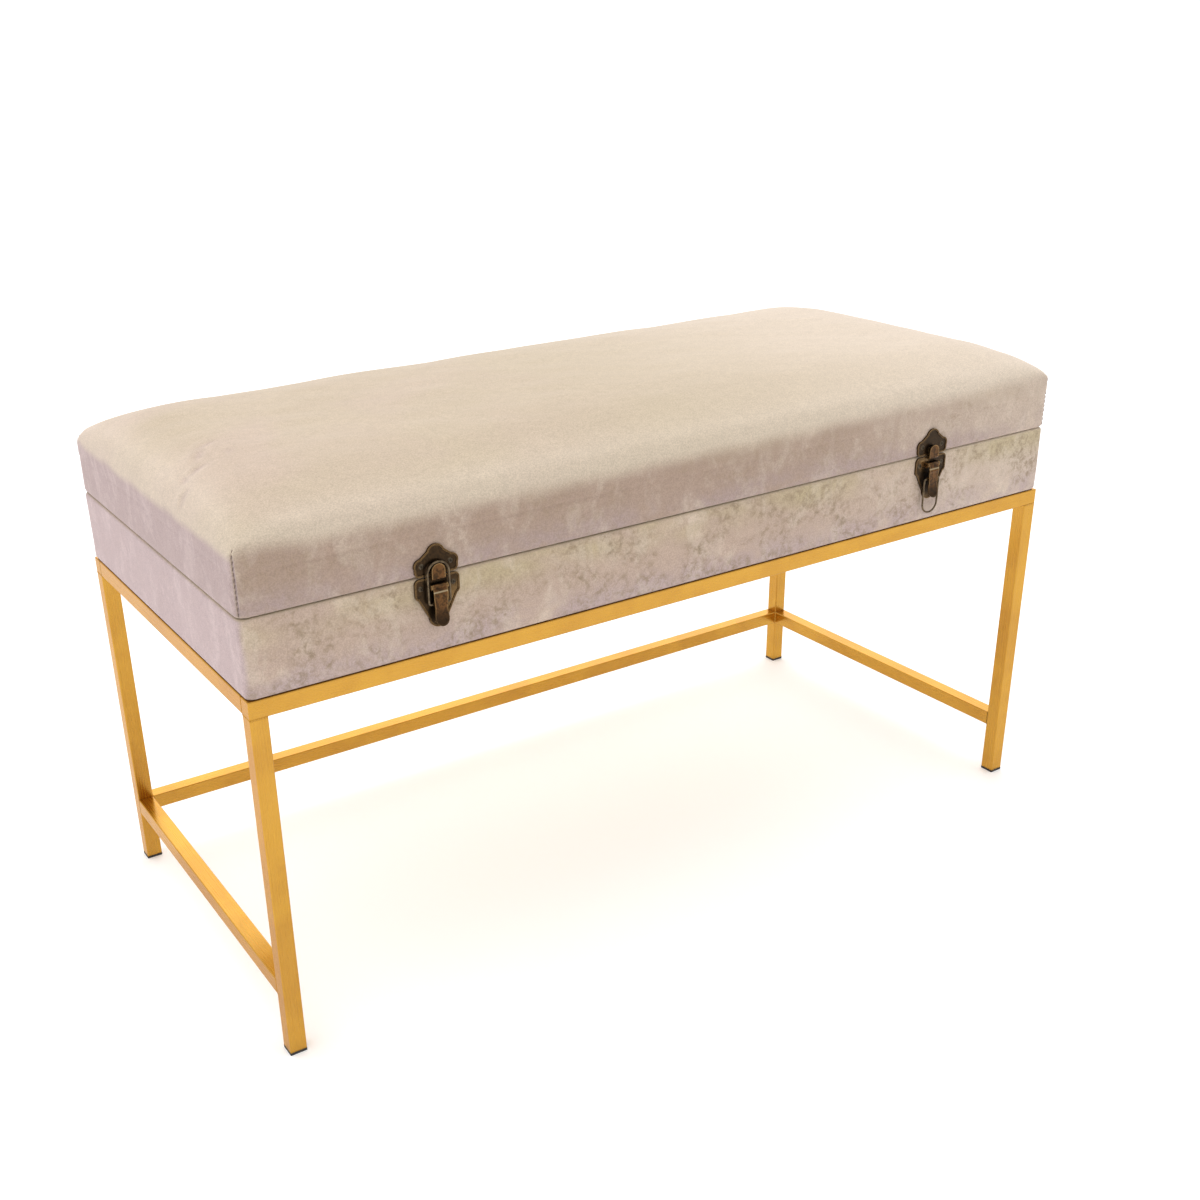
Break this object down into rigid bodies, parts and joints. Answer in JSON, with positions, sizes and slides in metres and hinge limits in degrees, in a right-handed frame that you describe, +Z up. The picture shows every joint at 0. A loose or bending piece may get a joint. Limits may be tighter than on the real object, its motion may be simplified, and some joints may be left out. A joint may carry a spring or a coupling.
{
  "type": "padded storage bench",
  "caption": "Long padded storage bench: a velvet-covered box with a hinged cushioned lid and draw latches on a slim square-tube metal frame.",
  "frame": {"origin": "on the floor under the middle of the bench", "axes": "+X along the bench to the right as seen from its front, +Y from the latches to the hinges, +Z up"},
  "size_m": [0.914, 0.4244, 0.5097],
  "materials": {
    "gold_paint": "satin",
    "velvet": "matte",
    "bronze": "satin",
    "steel": "satin",
    "plywood": "matte",
    "lining_cloth": "matte",
    "foam": "matte",
    "black_plastic": "matte"
  },
  "bodies": {
    "base": {"front_top_rail": "gold_paint", "back_top_rail": "gold_paint", "left_top_rail": "gold_paint", "right_top_rail": "gold_paint", "front_left_leg": "gold_paint", "front_right_leg": "gold_paint", "back_left_leg": "gold_paint", "back_right_leg": "gold_paint", "back_stretcher": "gold_paint", "left_stretcher": "gold_paint", "right_stretcher": "gold_paint", "foot_caps": "black_plastic", "box_frame_screws": "steel", "box_front_panel": "plywood", "box_back_panel": "plywood", "box_left_panel": "plywood", "box_right_panel": "plywood", "box_bottom_panel": "plywood", "box_cover": "velvet", "box_lining": "lining_cloth", "left_hinge_box_leaf": "steel", "right_hinge_box_leaf": "steel", "left_hinge_pin": "steel", "right_hinge_pin": "steel", "hinge_box_screws": "steel", "left_base_plate": "bronze", "right_base_plate": "bronze", "left_lever_pin": "bronze", "right_lever_pin": "bronze", "base_plate_screws": "bronze", "left_stay_box_plate": "steel", "right_stay_box_plate": "steel", "stay_box_screws": "steel"},
    "lid": {"lid_front_rail": "plywood", "lid_back_rail": "plywood", "lid_left_rail": "plywood", "lid_right_rail": "plywood", "lid_board": "plywood", "lid_foam": "foam", "lid_cover": "velvet", "lid_lining": "lining_cloth", "left_hinge_lid_leaf": "steel", "right_hinge_lid_leaf": "steel", "hinge_lid_screws": "steel", "left_strike_plate": "bronze", "right_strike_plate": "bronze", "strike_screws": "bronze", "left_stay_lid_plate": "steel", "right_stay_lid_plate": "steel", "stay_lid_screws": "steel"},
    "left_lever_body": {"left_lever": "bronze"},
    "left_bail_body": {"left_bail": "bronze"},
    "right_lever_body": {"right_lever": "bronze"},
    "right_bail_body": {"right_bail": "bronze"},
    "left_lower_arm": {"left_stay_lower_arm": "steel"},
    "left_upper_arm": {"left_stay_upper_arm": "steel"},
    "right_lower_arm": {"right_stay_lower_arm": "steel"},
    "right_upper_arm": {"right_stay_upper_arm": "steel"}
  },
  "joints": [
    {"name": "lid_hinge", "type": "hinge", "parent": "base", "child": "lid", "pos_m": [0, 0.2075, 0.4178], "axis": [-1, 0, 0], "range_deg": [0, 95]},
    {"name": "left_lever_pivot", "type": "hinge", "parent": "base", "child": "left_lever_body", "pos_m": [-0.285, -0.2077, 0.4085], "axis": [-1, 0, 0], "range_deg": [0, 80]},
    {"name": "left_bail_pivot", "type": "hinge", "parent": "left_lever_body", "child": "left_bail_body", "pos_m": [-0.285, -0.2082, 0.394], "axis": [1, 0, 0], "range_deg": [0, 255.2]},
    {"name": "right_lever_pivot", "type": "hinge", "parent": "base", "child": "right_lever_body", "pos_m": [0.285, -0.2077, 0.4085], "axis": [-1, 0, 0], "range_deg": [0, 80]},
    {"name": "right_bail_pivot", "type": "hinge", "parent": "right_lever_body", "child": "right_bail_body", "pos_m": [0.285, -0.2082, 0.394], "axis": [-1, 0, 0], "range_deg": [0, 100]},
    {"name": "left_stay_lower_pivot", "type": "hinge", "parent": "base", "child": "left_lower_arm", "pos_m": [-0.44, 0.0844, 0.39609], "axis": [-1, 0, 0], "range_deg": [0, 95]},
    {"name": "left_stay_upper_pivot", "type": "hinge", "parent": "lid", "child": "left_upper_arm", "pos_m": [-0.44, 0.08318, 0.43087], "axis": [-1, 0, 0], "range_deg": [-95, 0]},
    {"name": "right_stay_lower_pivot", "type": "hinge", "parent": "base", "child": "right_lower_arm", "pos_m": [0.44, 0.0844, 0.39609], "axis": [-1, 0, 0], "range_deg": [0, 95]},
    {"name": "right_stay_upper_pivot", "type": "hinge", "parent": "lid", "child": "right_upper_arm", "pos_m": [0.44, 0.08318, 0.43087], "axis": [-1, 0, 0], "range_deg": [-95, 0]}
  ],
  "couplings": [
    {"joint": "left_bail_pivot", "follows": "left_lever_pivot", "ratio": 3.19},
    {"joint": "left_stay_lower_pivot", "follows": "lid_hinge", "ratio": 1},
    {"joint": "left_stay_upper_pivot", "follows": "lid_hinge", "ratio": -1},
    {"joint": "right_stay_lower_pivot", "follows": "lid_hinge", "ratio": 1},
    {"joint": "right_stay_upper_pivot", "follows": "lid_hinge", "ratio": -1}
  ]
}
